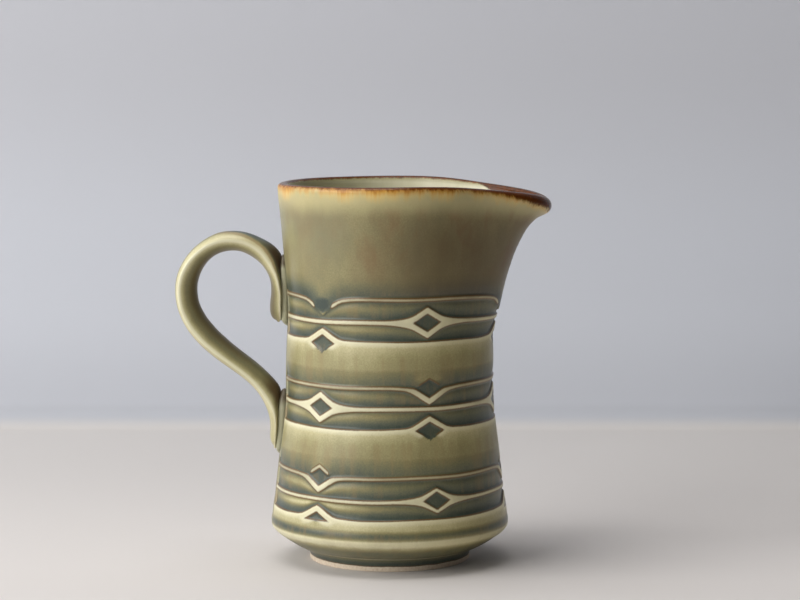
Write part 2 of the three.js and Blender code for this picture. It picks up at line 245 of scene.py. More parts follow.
def slope_of(table, x, scale=1.0):
    e = 0.3
    return (np.interp(x + e, *table) - np.interp(np.abs(x - e), *table)) / (2 * e) * scale


def relief(alpha, z):
    """Fields over azimuth (degrees from the front towards the lip) and height:
    depth (mm below the plain surface), line (mm inside a thin ridge), shelf (mm inside the proud shelf), pool (0 thin to 1 deep glaze)."""
    shape = np.broadcast(alpha, z).shape
    a = np.broadcast_to(alpha, shape).astype(float)
    zz = np.broadcast_to(z, shape).astype(float)
    depth = np.zeros(shape)
    line = np.full(shape, -9.0)
    shelf = np.full(shape, -9.0)
    crisp = np.zeros(shape)
    gain = np.full(shape, 0.8)
    pool = np.full(shape, 0.47)
    from_handle = np.abs(wrap(a + 90.0))
    for k, b in enumerate(BANDS):
        best = np.full(shape, 1e9)
        x = np.zeros(shape)
        vee = np.zeros(shape)
        for i, c in enumerate(b["cols"]):
            d = wrap(a - c)
            near = np.abs(d) < best
            best = np.where(near, np.abs(d), best)
            x = np.where(near, np.radians(d) * b["r"], x)
            is_v = (i % 2 == 0) == (b["first"] == "V")
            vee = np.where(near, 1.0 if is_v else 0.0, vee)
        # the hand-cut lines wander a little
        rise = 0.5 * step(a, 25, 75) * step(-a, -175, -110) if k < 2 else 0.25 * step(a, 5, 45) * (1 - step(a, 60, 95))
        zr = zz - b["m"] - rise - 0.16 * np.sin(np.radians(a * 3 + 40 * k)) - 0.1 * np.sin(np.radians(a * 7 + 90 * k))
        ax = np.abs(x)
        v = vee > 0.5
        # middle ridge, opened into a frame round a lozenge in the M columns
        narrow = 0.8 if k == 0 else 1.0
        hm = np.where(v, 0.72, M_FRAME(ax)) * narrow
        sm = np.where(v, 0.0, (M_FRAME(ax + 0.3) - M_FRAME(np.abs(ax - 0.3))) / 0.6)
        ridge_m = (hm - np.abs(zr)) / np.sqrt(1 + sm**2)
        loz_m = np.where(v, -9.0, lozenge(x, zr, 6.5, 4.0))
        ridge_m = np.minimum(ridge_m, -loz_m)
        # upper ridge
        drowned = 1.0 if k == 2 else 0.0
        lo = b["u"] - 0.45 - np.where(v, np.interp(ax, *V_LOW), 0)
        thin = 0.95 if k == 2 else (1.05 if k == 1 else 1.0)
        hi_v = b["u"] + thin - 0.45 - np.interp(ax, *V_HIGH)
        hi = np.where(v, hi_v if k < 2 else lo + 1.0 + 0.5 * np.exp(-((ax - 5) / 3) ** 2), lo + thin)
        mid, half = (lo + hi) / 2, (hi - lo) / 2
        su = np.where(v, slope_of(V_LOW, ax), 0)
        ridge_u = (half - np.abs(zr - mid)) / np.sqrt(1 + su**2)
        if drowned:
            ridge_u = ridge_u - np.where(v, 2.4 * (1 - step(ax, 2.4, 5.6)), 0)
        loz_u_c = b["u"] + (-0.3 if k < 2 else -0.2)
        loz_u = np.where(v & (drowned < 0.5), lozenge(x, zr - loz_u_c, 6.5, 3.85), -9.0)
        ridge_u = np.minimum(ridge_u, -loz_u)
        # thin strokes over the top of the upper lozenge, broken at its corners
        broad = 0.56 if k == 0 else 0.42
        stroke = np.where(v, broad - np.abs(loz_u + broad), -9.0)
        stroke = np.where(zr > loz_u_c + 0.7, stroke, -9.0)
        stroke = stroke - 1.2 * step(ax, 4.6, 5.8) - (0.0 if k == 0 else (0.55 if k == 1 else 9.0))
        # shelf below the band, with a lozenge under each apex
        edge = -b["l"] + np.where(v, (b["l"] - b["apex"]) * np.interp(ax, *L_RISE), 0)
        sl = np.where(v, slope_of(L_RISE, ax, b["l"] - b["apex"]), 0)
        below = (edge - zr) / np.sqrt(1 + sl**2)
        loz_l = np.where(v, lozenge(x, zr + 9.1, 6.6, 3.8), -9.0)
        if k == 0:
            loz_l = np.minimum(loz_l, zr + 9.15)
        shelf_b = np.minimum(below, -loz_l)

        in_band = (zr < b["u"] + 14) & (zr > -b["l"] - 12)
        ridge = np.maximum(np.maximum(ridge_m, ridge_u), stroke)
        above = np.clip(zr - hi, 0, None)  # height above the upper ridge
        channel_top = (zr > hm) & (zr < lo)
        t1 = np.clip((zr - hm) / np.maximum(lo - hm, 0.3), 0, 1)
        t2 = np.clip((zr - edge) / np.maximum(-hm - edge, 0.3), 0, 1)
        channel_low = (zr < -hm) & (zr > edge)
        wide1 = np.clip((lo - hm) / 6.0, 0, 1)
        wide2 = np.clip((-hm - edge) / 5.0, 0, 1)
        # the channels' bellies are thinner and paler in broad patches; those from -64 to -20 degrees, on the side
        # towards the light, are painted highlight, those at 150 and 222 degrees thin glaze
        thin_glaze_and_painted_highlight = 0.4 + 0.6 * (np.exp(-(((a + 20) / 26) ** 2)) + (2.1 * np.exp(-(((a + 50) / 26) ** 2)) if k == 0 else 1.5 * np.exp(-(((a + 64) / 15) ** 2))) + np.exp(-(((a - 150) / 30) ** 2)) + np.exp(-(((a - 222) / 20) ** 2)))
        belly1 = np.exp(-(((t1 - 0.60) / 0.24) ** 2)) * wide1 * thin_glaze_and_painted_highlight
        belly2 = np.exp(-(((t2 - 0.70) / 0.26) ** 2)) * wide2 * thin_glaze_and_painted_highlight
        all_up = np.maximum(ridge, shelf_b)
        deep = step(-all_up, -0.15, 1.0)
        d_here = np.zeros(shape)
        p_here = np.full(shape, 0.47)
        fade_up = np.exp(-((above / (6.8 if k == 2 else 6.3)) ** 1.9))
        d_here = np.where(zr >= hi, 0.66 * np.exp(-((above / 3.6) ** 1.25)), d_here)
        uneven = 0.86 + 0.14 * np.cos(np.radians(2.0 * (a + (75, -50, 0)[k]))) if k < 2 else 0.92 + 0.14 * np.cos(np.radians(2.6 * (a - 65)))
        p_here = np.where(zr >= hi, 0.42 + (0.52 if k == 2 else 0.46) * uneven * fade_up, p_here)
        if k == 1:  # thin glaze over the top of the upper lozenge
            glow = np.where(v, np.exp(-((ax / 5.0) ** 2)) * np.exp(-(((zr - 14.6 + 0.35 * ax) / 1.3) ** 2)), 0)
            p_here = p_here - 0.42 * glow
        d_here = np.where(channel_top, 0.85 - 0.36 * belly1, d_here)
        p_here = np.where(channel_top, 0.84 + 0.14 * (1 - step(t1, 0.0, 0.36)) - 0.30 * belly1, p_here)
        d_here = np.where(channel_low, 0.85 - 0.34 * belly2, d_here)
        p_here = np.where(channel_low, 0.88 + 0.12 * (1 - step(t2, 0.0, 0.42)) - 0.42 * belly2, p_here)
        in_loz = np.maximum(np.maximum(loz_m, loz_u), loz_l)
        d_here = np.where(in_loz > 0, 0.55, d_here)
        p_here = np.where(in_loz > -0.2, np.maximum(p_here, 0.90 + 0.08 * step(1.6 - in_loz, 0, 1.5)), p_here)
        if k == 2:  # the pool that fills the drowned corner of the upper ridge
            puddle = np.where(v, np.exp(-((ax / 7.4) ** 4)) * np.exp(-(((zr - 7.4) / 3.9) ** 4)), 0)
            p_here = np.maximum(p_here, np.where(zr > 2.4, 1.0 * puddle, 0))
            d_here = d_here * (1 - 0.85 * np.where(zr > 1.6, puddle, 0))
        d_here = d_here * deep
        d_here = np.where(ridge > 0, 0.05 + 0.12 * (1 - np.clip(ridge / 0.45, 0, 1)), d_here)
        # below the shelf's edge the glaze is thin, and thickens downwards
        down = np.clip(below, 0, None)
        shelf_pool = 0.05 + 0.38 * (1 - np.exp(-((down / (6.5 if k == 0 else 4.6)) ** 1.2)))
        p_here = np.where((zr < edge) & (loz_l < -0.2), shelf_pool, p_here)
        inside = in_band & ((zr > edge) | (loz_l > -0.5))
        depth = np.where(inside, d_here, depth)
        pool = np.where(in_band & (zr >= hi), np.maximum(pool, p_here), pool)
        pool = np.where(in_band & (zr < hi) & (zr > edge), p_here, pool)
        pool = np.where(in_band & (zr <= edge), p_here, pool)
        line = np.where(in_band, np.maximum(line, ridge), line)
        own = zr > -b["l"] - 12
        shelf = np.where(own & (zr < hi + 6.5), shelf_b, shelf)
        crisp = np.maximum(crisp, np.where(own & (zr < hi + 3), 1 - step(np.abs(below), 4.5, 6.5), 0))
        crisp = np.maximum(crisp, np.where(np.abs(ridge) < 1.2, 1.0, 0))
        if k == 2:
            crisp = crisp * (1 - np.where(v & (zr > 1.2) & (zr < 13), 1 - step(ax, 2.8, 4.8), 0))
        g_u = np.where(v, 0.45 + 0.5 * np.exp(-((ax / 9.0) ** 2)), 0.45)
        g_m = np.where(v, 0.85, 0.80 + 0.2 * np.exp(-((ax / 10.0) ** 2)))
        gain = np.where(in_band, np.where(ridge_u >= ridge_m, g_u, g_m), gain)
        gain = np.where(in_band & (stroke > np.maximum(ridge_u, ridge_m)), 0.62 if k == 0 else 0.6, gain)
    # under the bottom band: the glaze pools, then breaks over the arris
    pool = np.where(zz < 25.0, np.maximum(pool, (0.80 + 0.08 * np.sin(np.radians(a * 2 + 200))) * np.exp(-(((zz - 18.2) / 2.3) ** 2))), pool)
    arris = 1.5 - np.abs(zz - 14.7)
    pool = np.where(zz < 16.6, np.minimum(pool, 0.10 + 0.7 * step(zz, 15.6, 16.6)), pool)
    pool = np.where(zz < 14.8, 0.08 + 0.58 * step(14.0 - zz, 0.2, 4.4), pool)
    line = np.where(zz < 20, np.maximum(line, arris * 0.5), line)
    gain = np.where(zz < 20, 0.55 + 0.1 * np.sin(np.radians(a * 5)), gain)
    # the ribbons stop short of the handle at a thin raised edge
    zone = step(from_handle, 8.2, 9.6)
    edge_line = 0.45 - np.abs(from_handle - 8.9) * 0.8
    tall = ((zz > 45) & (zz < 76)) | ((zz > 99) & (zz < 119)) | ((zz > 24) & (zz < 43)) | ((zz > 62) & (zz < 81))
    depth = depth * zone
    by_pad = step(zz, 40, 52) * (1 - step(zz, 70, 84)) + step(zz, 92, 106) * (1 - step(zz, 126, 142))
    pool = pool * zone + (0.5 + 0.26 * by_pad) * (1 - zone)
    line = np.where(zone < 0.5, np.minimum(line, -0.6), line)
    gain = np.where(tall & (edge_line > line), 0.5, gain)
    line = np.where(tall, np.maximum(line, edge_line), line)
    shelf = np.where(zone < 0.5, np.minimum(shelf, -0.6), shelf)
    return depth, line, shelf, pool, crisp, gain


# ------------------------------------------------------------------ body wall
def column_angles():
    centres = [-38, 23, 85, 146, 207]

    def density(a):
        d = np.ones_like(a)
        for c in centres:
            d = d + 0.6 * (1 - step(np.abs(a - c), 8, 12))
        d = d + 0.5 * (1 - step(np.abs(a + 90), 9, 12)) + 0.5 * (1 - step(np.abs(a - 270), 9, 12))
        return d

    return spread(-90, 270, density, 1.26)[:-1]


def row_heights():
    def density(z):
        d = np.full_like(z, 0.36)
        for b in BANDS:
            d = np.maximum(d, 1.0 * step(z, b["m"] - 14.5, b["m"] - 12.5) * (1 - step(z, b["m"] + 13.5, b["m"] + 16)))
        d = np.maximum(d, 0.85 * (1 - step(z, 20, 21)))
        return d

    return spread(PROFILE[0][1], WALL_TOP, density, 0.495)


def build_wall():
    alpha = column_angles()
    deg = wrap(alpha - 90.0)
    zs = row_heights()
    n = len(alpha)
    D, Z = np.meshgrid(deg, zs)
    A = np.broadcast_to(alpha, D.shape)
    depth, line, shelf, pool, crisp, gain = relief(A, Z)
    normal, _ = frame_at(D, Z)
    # a thrown and hand-finished wall is never perfectly even
    wobble = 0.16 * np.sin(np.radians(2 * A + 25)) * step(Z, 20, 120) + 0.07 * np.sin(np.radians(5 * A) + Z / 17.0)
    wobble = wobble + 0.035 * np.sin(Z * 1.9 + np.radians(A)) * step(Z, 118, 126) * (1 - step(Z, 150, 160))
    out = outer(D, Z) + normal * (wobble - depth)[..., None]
    rows = [out]
    lines, shelves, pools, crisps, gains = [line], [shelf], [pool], [crisp], [gain]

    rad = np.radians(deg)

    def flat_ring(r, z):
        return np.stack([r * np.cos(rad), r * np.sin(rad), np.full(n, float(z))], -1)[None]

    def plain(count, p=0.4):
        lines.append(np.full((count, n), -9.0))
        shelves.append(np.full((count, n), -9.0))
        pools.append(np.full((count, n), p))
        crisps.append(np.zeros((count, n)))
        gains.append(np.full((count, n), 0.8))

    rim_r = RIM_R + (LIP_RIM_R - RIM_R) * lip_share(deg)[0]
    top = outer(deg, np.full(n, WALL_TOP))
    nt, ut = frame_at(deg, np.full(n, WALL_TOP))
    nt2 = normalised(out[-1] - out[-1] + nt)
    top = top + nt2 * wobble[-1][:, None]
    steps = 12
    bull = []
    for k in range(1, steps):
        a = math.pi * k / steps
        lift = 0.12 * np.sin(np.radians(alpha * 2 + 60)) + 0.07 * np.sin(np.radians(alpha * 5))
        bull.append(top + nt * (rim_r * (math.cos(a) - 1))[:, None] + ut * (rim_r * math.sin(a) + lift * math.sin(a))[:, None])
    rows.append(np.array(bull))
    plain(steps - 1)
    inner_z = np.array([162.85, 161.6, 160.2, 158.6, 156.6, 154.2, 151.5, 148.5, 145, 141, 136.5, 131.5, 126, 120, 113.5, 106.5, 99, 91, 83, 75, 67, 59, 51, 43.5, 36.5, 30.5, 25.5, 21.5, 18.6])
    DI, ZI = np.meshgrid(deg, inner_z)
    ni, _ = frame_at(DI, ZI)
    rr = RIM_R + (LIP_RIM_R - RIM_R) * lip_share(DI)[0]
    thick = WALL_LOW + (2 * rr - WALL_LOW) * np.clip((ZI - 30) / (WALL_TOP - 30), 0, 1)
    inner = outer(DI, ZI) - ni * thick[..., None]
    throwing = 0.12 * np.sin(ZI * 0.62 + np.radians(DI)) * (1 - step(ZI, 140, 158))
    inner[..., :2] *= (1 + throwing / 45.0)[..., None]
    rows.append(inner)
    plain(len(inner_z))
    corner = [(45.9, 16.6), (45.3, 15.0), (44.3, 13.7), (43.0, 12.6), (41.3, 11.7), (39.2, 11.05), (36.6, 10.66), (35.8, 10.55), (35.6, 10.1), (35.6, 7.2), (36.4, 5.7), (37.6, 5.65), (38.9, 6.12)]
    for r, z in corner:
        rows.append(flat_ring(r, z))
        plain(1)
    P = np.concatenate(rows)
    m = len(P)
    crest = len(zs) + steps // 2 - 1
    seg = np.linalg.norm(np.diff(P, axis=0), axis=2)
    run = np.concatenate([np.zeros((1, n)), np.cumsum(seg, axis=0)])
    rim = run[crest] - run  # mm down the outside from the crest; negative inside
    faces = ring_faces(m, n, close_rows=True)
    ob = mesh_object(
        "body_wall_glazed", P, faces,
        {"line": np.concatenate(lines), "shelf": np.concatenate(shelves), "pool": np.concatenate(pools), "crisp": np.concatenate(crisps), "gain": np.concatenate(gains), "rim": rim},
    )
    return ob


# ------------------------------------------------------------------ turned pieces
def turned(name, rows, seg=256, attributes=None, poles=None):
    a = np.linspace(0, 2 * np.pi, seg, endpoint=False)
    rows = np.asarray(rows, float)
    P = np.stack([rows[:, 0:1] * np.cos(a), rows[:, 0:1] * np.sin(a), np.broadcast_to(rows[:, 1:2], (len(rows), seg))], -1)
    if poles is None:
        return mesh_object(name, P, ring_faces(len(rows), seg, close_rows=True), attributes)
    # the outline starts and ends beside the axis, and a fan closes each end at its own height
    quads = ring_faces(len(rows), seg)
    j = np.arange(seg)
    j2 = (j + 1) % seg
    count, top = len(rows) * seg, (len(rows) - 1) * seg
    fans = [np.stack([np.full(seg, count), j2, j], -1), np.stack([np.full(seg, count + 1), top + j, top + j2], -1)]
    points = np.concatenate([P.reshape(-1, 3), [(0.0, 0.0, poles[0]), (0.0, 0.0, poles[1])]])
    return mesh_object(name, points, np.concatenate([quads[:, [0, 1, 2]], quads[:, [0, 2, 3]]] + fans), attributes)


def rounded(rows, radius, n=4):
    """Rounds the corners of a closed outline of (r, z, radius share) rows."""
    out = []
    c = len(rows)
    for i in range(c):
        p = np.array(rows[i][:2], float)
        share = rows[i][2] if len(rows[i]) > 2 else 0
        if not share:
            out.append(tuple(p))
            continue
        a, b = np.array(rows[i - 1][:2], float), np.array(rows[(i + 1) % c][:2], float)
        da, db = (a - p) / np.linalg.norm(a - p), (b - p) / np.linalg.norm(b - p)
        r = radius * share
        p0, p1 = p + da * r, p + db * r
        for k in range(n + 1):
            t = k / n
            out.append(tuple((1 - t) ** 2 * p0 + 2 * t * (1 - t) * p + t * t * p1))
    return out


def build_foot():
    rows = rounded([
        (28.6, 0.0, 1), (35.0, 0.0, 1), (35.02, 1.2), (35.02, 2.1), (35.2, 2.9), (35.6, 3.7), (36.1, 4.4), (36.8, 5.1), (37.7, 5.75), (38.6, 6.12),
        (38.4, 6.3), (36.0, 6.38), (29.9, 6.38), (29.3, 5.2), (28.9, 4.0), (28.6, 2.1),
    ], 0.45)
    return turned("foot_ring_clay", rows, 256)


def build_floor():
    rows = [(1.2, 6.4), (6, 6.4), (12, 6.42), (18, 6.42), (24, 6.4), (29.6, 6.35), (36.0, 6.4), (36.2, 8.6), (36.1, 10.2), (35.6, 10.62), (34.5, 10.62), (31, 10.55), (27, 10.42)]
    rows += [(r, 10.3 - 0.2 * math.cos(r / 2.2) * (r / 24)) for r in (23, 20, 17, 14, 11, 8, 5, 2.5, 1.2)]
    return turned("floor_disc_glazed", rows, 192, poles=(6.4, 10.3))


# ------------------------------------------------------------------ handle
def build_strap():
    S = np.array(STRAP)
    mid = np.stack([(S[:, 0] + S[:, 2]) / 2, (S[:, 1] + S[:, 3]) / 2], 1)
    s = np.concatenate([[0], np.cumsum(np.linalg.norm(np.diff(mid, axis=0), axis=1))])
    length = s[-1]
    half = np.hypot(S[:, 2] - S[:, 0], S[:, 3] - S[:, 1]) / 2
    hx, hz = (S[:, 2] - S[:, 0]) / 2 / half, (S[:, 3] - S[:, 1]) / 2 / half
    ang = np.unwrap(np.arctan2(hz, hx))

    def relax(v, passes=2):
        v = v.copy()
        for _ in range(passes):
            v[1:-1] = 0.25 * v[:-2] + 0.5 * v[1:-1] + 0.25 * v[2:]
        return v

    ang = relax(ang, 2)
    half = relax(half, 1)
    n = 236
    u = np.linspace(0, length, n)
    mx, mz = smooth_table(s, mid[:, 0])(u), smooth_table(s, mid[:, 1])(u)
    hh, aa = smooth_table(s, half)(u), smooth_table(s, ang)(u)
    hh = hh + 0.24 * step(u / length, 0.1, 0.2) * (1 - step(u / length, 0.84, 0.9))
    ww = STRAP_HALF_W * np.interp(u / length, *zip(*STRAP_WIDTH))
    for _ in range(6):
        ww[1:-1] = 0.25 * ww[:-2] + 0.5 * ww[1:-1] + 0.25 * ww[2:]
        mx[1:-1] = 0.25 * mx[:-2] + 0.5 * mx[1:-1] + 0.25 * mx[2:]
        mz[1:-1] = 0.25 * mz[:-2] + 0.5 * mz[1:-1] + 0.25 * mz[2:]
    sides = 56
    th = np.linspace(0, 2 * np.pi, sides, endpoint=False)
    across, thick = np.cos(th), np.sin(th)
    arris_at = np.interp(u / length, *zip(*ARRIS))
    for _ in range(8):
        arris_at[1:-1] = 0.25 * arris_at[:-2] + 0.5 * arris_at[1:-1] + 0.25 * arris_at[2:]
    rings, edge, face, along = [], [], [], []

    def ring(i, grow, shift):
        tx, tz = -math.sin(aa[i]), math.cos(aa[i])
        fwd = np.array([mx[min(i + 1, n - 1)] - mx[max(i - 1, 0)], mz[min(i + 1, n - 1)] - mz[max(i - 1, 0)]])
        if fwd[0] * tx + fwd[1] * tz < 0:
            tx, tz = -tx, -tz
        k = arris_at[i]
        t_prof = np.where(thick >= 0, k + (1 - k) * np.abs(thick) ** 1.1, k - (1 + k) * np.abs(thick) ** 1.02)
        x = mx[i] + tx * shift + math.cos(aa[i]) * hh[i] * grow * t_prof
        z = mz[i] + tz * shift + math.sin(aa[i]) * hh[i] * grow * t_prof
        rings.append(np.stack([x, ww[i] * grow * across, z], -1))
        edge.append(t_prof - k)  # 0 on the strap's arris, positive towards the face away from the fingers
        face.append(t_prof)
        along.append(np.full(sides, u[i] / length))

    for k in (0, 1, 2, 3):
        a = math.pi / 2 * (k / 4)
        ring(0, max(0.02, math.sin(a)), -0.7 * math.cos(a))
    for i in range(n):
        ring(i, 1.0, 0.0)
    for k in (3, 2, 1, 0):
        a = math.pi / 2 * (k / 4)
        ring(n - 1, max(0.02, math.sin(a)), 0.7 * math.cos(a))
    P = np.array(rings)
    m = len(P)
    centre = np.stack([P[0].mean(0), P[-1].mean(0)])
    verts = np.concatenate([P.reshape(-1, 3), centre])
    quads = ring_faces(m, sides)
    quads = [tuple(q) for q in quads]
    c0, c1 = m * sides, m * sides + 1
    caps = []
    for j in range(sides):
        j2 = (j + 1) % sides
        caps.append((c0, j2, j))
        caps.append((c1, (m - 1) * sides + j, (m - 1) * sides + j2))
    # wind everything outwards
    v = verts
    tri = np.array([(q[0], q[1], q[2]) for q in quads] + [(q[0], q[2], q[3]) for q in quads])
    volume = np.einsum("ij,ij->", v[tri[:, 0]], np.cross(v[tri[:, 1]], v[tri[:, 2]]))
    if volume < 0:
        quads = [q[::-1] for q in quads]
        caps = [c[::-1] for c in caps]
    co = verts.copy()
    co[:, 0] += AXIS_X
    co *= MM
    me = bpy.data.meshes.new("handle_strap")
    me.from_pydata(co.tolist(), [], [tuple(int(i) for i in f) for f in quads + caps])
    me.update()
    me.polygons.foreach_set("use_smooth", [True] * len(me.polygons))
    for key, values in (("edge", edge), ("face", face), ("along", along)):
        arr = np.concatenate([np.concatenate(values), [values[0][0], values[-1][0]]])
        at = me.attributes.new(key, "FLOAT", "POINT")
        at.data.foreach_set("value", arr.astype(np.float32))
    ob = bpy.data.objects.new("handle_strap", me)
    bpy.context.scene.collection.objects.link(ob)
    return ob


def build_pad(name, rows):
    """A pad of slip between strap and wall: (height, x of its wall side, x of its strap side, half width) rows."""
    z, xa, xb, w = (np.array(c, float) for c in zip(*rows))
    n = 60
    u = np.linspace(z[0], z[-1], n)
    fa, fb, fw = smooth_table(z, xa)(u), smooth_table(z, xb)(u), smooth_table(z, w)(u)
    t = (u - z[0]) / (z[-1] - z[0])
    ends = np.sqrt(np.clip(1 - (2 * t - 1) ** 10, 0, 1))
    sides = 36
    th = np.linspace(0, 2 * np.pi, sides, endpoint=False)
    c, s = np.cos(th), np.sin(th)
    sq = lambda v, p: np.sign(v) * np.abs(v) ** p
    rings = []
    for i in range(n):
        k = max(ends[i], 0.03)
        cx, hx = (fa[i] + fb[i]) / 2, abs(fa[i] - fb[i]) / 2
        # the pad is waisted between wall and strap, as slip pressed into a joint is
        waist = 0.965 + 0.045 * c
        rings.append(np.stack([cx + hx * k * sq(c, 0.7), fw[i] * k * sq(s, 0.7) * waist, np.full(sides, u[i])], -1))
    P = np.array(rings)
    verts = P.reshape(-1, 3)
    quads = [tuple(q) for q in ring_faces(n, sides)]
    top = [tuple(range((n - 1) * sides, n * sides))]
    bottom = [tuple(range(sides))[::-1]]
    co = verts.copy()
    co[:, 0] += AXIS_X
    co *= MM
    me = bpy.data.meshes.new(name)
    me.from_pydata(co.tolist(), [], [tuple(int(i) for i in f) for f in quads + top + bottom])
    me.update()
    me.polygons.foreach_set("use_smooth", [True] * len(me.polygons))
    import bmesh
    bm = bmesh.new()
    bm.from_mesh(me)
    bmesh.ops.recalc_face_normals(bm, faces=bm.faces)
    bm.to_mesh(me)
    bm.free()
    ob = bpy.data.objects.new(name, me)
    bpy.context.scene.collection.objects.link(ob)
    return ob


# ------------------------------------------------------------------ materials
def srgb(r, g, b, k=1.0):
    def lin(c):
        c /= 255.0
        return k * (c / 12.92 if c <= 0.04045 else ((c + 0.055) / 1.055) ** 2.4)

    return (lin(r), lin(g), lin(b), 1.0)


class Net:
    """A short way to write a material's nodes."""

    def __init__(self, name):
        self.material = bpy.data.materials.new(name)
        self.material.use_nodes = True
        self.tree = self.material.node_tree
        self.tree.nodes.clear()
        out = self.new("OutputMaterial")
        self.bsdf = self.new("BsdfPrincipled")
        self.tree.links.new(self.bsdf.outputs[0], out.inputs[0])
        self.object = self.new("TexCoord").outputs["Object"]

    def new(self, kind):
        return self.tree.nodes.new("ShaderNode" + kind)

    def put(self, socket, value):
        if isinstance(value, bpy.types.NodeSocket):
            self.tree.links.new(value, socket)
        else:
            socket.default_value = value

    def math(self, op, a, b=0.0, c=0.0, clamp=False):
        n = self.new("Math")
        n.operation = op
        n.use_clamp = clamp
        for i, v in enumerate((a, b, c)):
            self.put(n.inputs[i], v)
        return n.outputs[0]

    def add(self, a, b):
        return self.math("ADD", a, b)

    def mul(self, a, b):
        return self.math("MULTIPLY", a, b)

    def step(self, x, lo, hi, to=(0.0, 1.0)):
        n = self.new("MapRange")
        n.interpolation_type = "SMOOTHSTEP"
        for key, v in (("Value", x), ("From Min", lo), ("From Max", hi), ("To Min", to[0]), ("To Max", to[1])):
            self.put(n.inputs[key], v)
        return n.outputs[0]

    def ramp(self, fac, stops):
        n = self.new("ValToRGB")
        cr = n.color_ramp
        while len(cr.elements) < len(stops):
            cr.elements.new(0.5)
        for e, (p, c) in zip(cr.elements, stops):
            e.position = p
            e.color = c
        self.put(n.inputs[0], fac)
        return n.outputs[0]

    def mix(self, fac, a, b, mode="MIX"):
        n = self.new("Mix")
        n.data_type = "RGBA"
        n.blend_type = mode
        self.put(n.inputs[0], fac)
        self.put(n.inputs[6], a)
        self.put(n.inputs[7], b)
        return n.outputs[2]

    def stretch(self, sx, sy, sz, move=(0, 0, 0)):
        n = self.new("Mapping")
        n.inputs["Scale"].default_value = (sx, sy, sz)
        n.inputs["Location"].default_value = move
        self.tree.links.new(self.object, n.inputs["Vector"])
        return n.outputs[0]

    def noise(self, vector, scale, detail=3.0, rough=0.55, distort=0.0):
        n = self.new("TexNoise")
        self.put(n.inputs["Vector"], vector)
        n.inputs["Scale"].default_value = scale
        n.inputs["Detail"].default_value = detail
        n.inputs["Roughness"].default_value = rough
        n.inputs["Distortion"].default_value = distort
        return n.outputs["Fac"]

    def attr(self, name):
        n = self.new("Attribute")
        n.attribute_name = name
        return n.outputs["Fac"]

    def split(self, vector):
        n = self.new("SeparateXYZ")
        self.put(n.inputs[0], vector)
        return n.outputs

    def bump(self, height, distance, strength=1.0, normal=None):
        n = self.new("Bump")
        n.inputs["Distance"].default_value = distance
        n.inputs["Strength"].default_value = strength
        self.put(n.inputs["Height"], height)
        if normal is not None:
            self.put(n.inputs["Normal"], normal)
        return n.outputs[0]


CREAM = srgb(230, 226, 194)
GLAZE = [
    (0.00, srgb(222, 214, 176)),
    (0.16, srgb(196, 189, 146)),
    (0.34, srgb(164, 157, 115)),
    (0.50, srgb(141, 134, 96)),
    (0.66, srgb(116, 116, 88)),
    (0.82, srgb(90, 96, 81)),
    (1.00, srgb(64, 75, 69)),
]


def surface(net, color, rough=(0.29, 0.39), fine=0.00001):
    """Shared finish of the fired glaze: satin gloss with a soft unevenness."""
    p = net.stretch(1, 1, 1)
    n1 = net.noise(p, 700, 3, 0.6)
    n2 = net.noise(p, 90, 3, 0.5)
    net.put(net.bsdf.inputs["Base Color"], color)
    net.put(net.bsdf.inputs["Roughness"], net.step(n2, 0.3, 0.7, rough))
    net.bsdf.inputs["IOR"].default_value = 1.5
    b = net.bump(n1, fine, 1.0)
    b = net.bump(n2, fine * 3, 1.0, b)
    net.put(net.bsdf.inputs["Normal"], b)


def mottled(net, thickness, streak=0.07, blotch=0.15, speck=0.14):
    """Thickness of the glaze with its runs, blotches and specks."""
    runs = net.noise(net.stretch(1, 1, 0.11), 150, 4, 0.6)
    fine_runs = net.noise(net.stretch(1, 1, 0.16, (3, 1, 0)), 520, 3, 0.6)
    cloud = net.noise(net.stretch(1, 1, 0.7, (7, 2, 5)), 42, 4, 0.6)
    grain = net.noise(net.stretch(1, 1, 1, (1, 8, 2)), 1500, 2, 0.7)
    t = net.add(thickness, net.mul(net.math("SUBTRACT", runs, 0.5), streak * 2))
    t = net.add(t, net.mul(net.math("SUBTRACT", fine_runs, 0.5), streak * 0.9))
    t = net.add(t, net.mul(net.math("SUBTRACT", cloud, 0.5), blotch * 2))
    drift = net.noise(net.stretch(1, 1, 0.9, (1, 4, 3)), 17, 2, 0.5)
    t = net.add(t, net.mul(net.math("SUBTRACT", drift, 0.5), blotch * 1.6))
    t = net.add(t, net.mul(net.math("SUBTRACT", grain, 0.5), speck * 2))
    return net.math("ADD", t, 0.0, clamp=True)


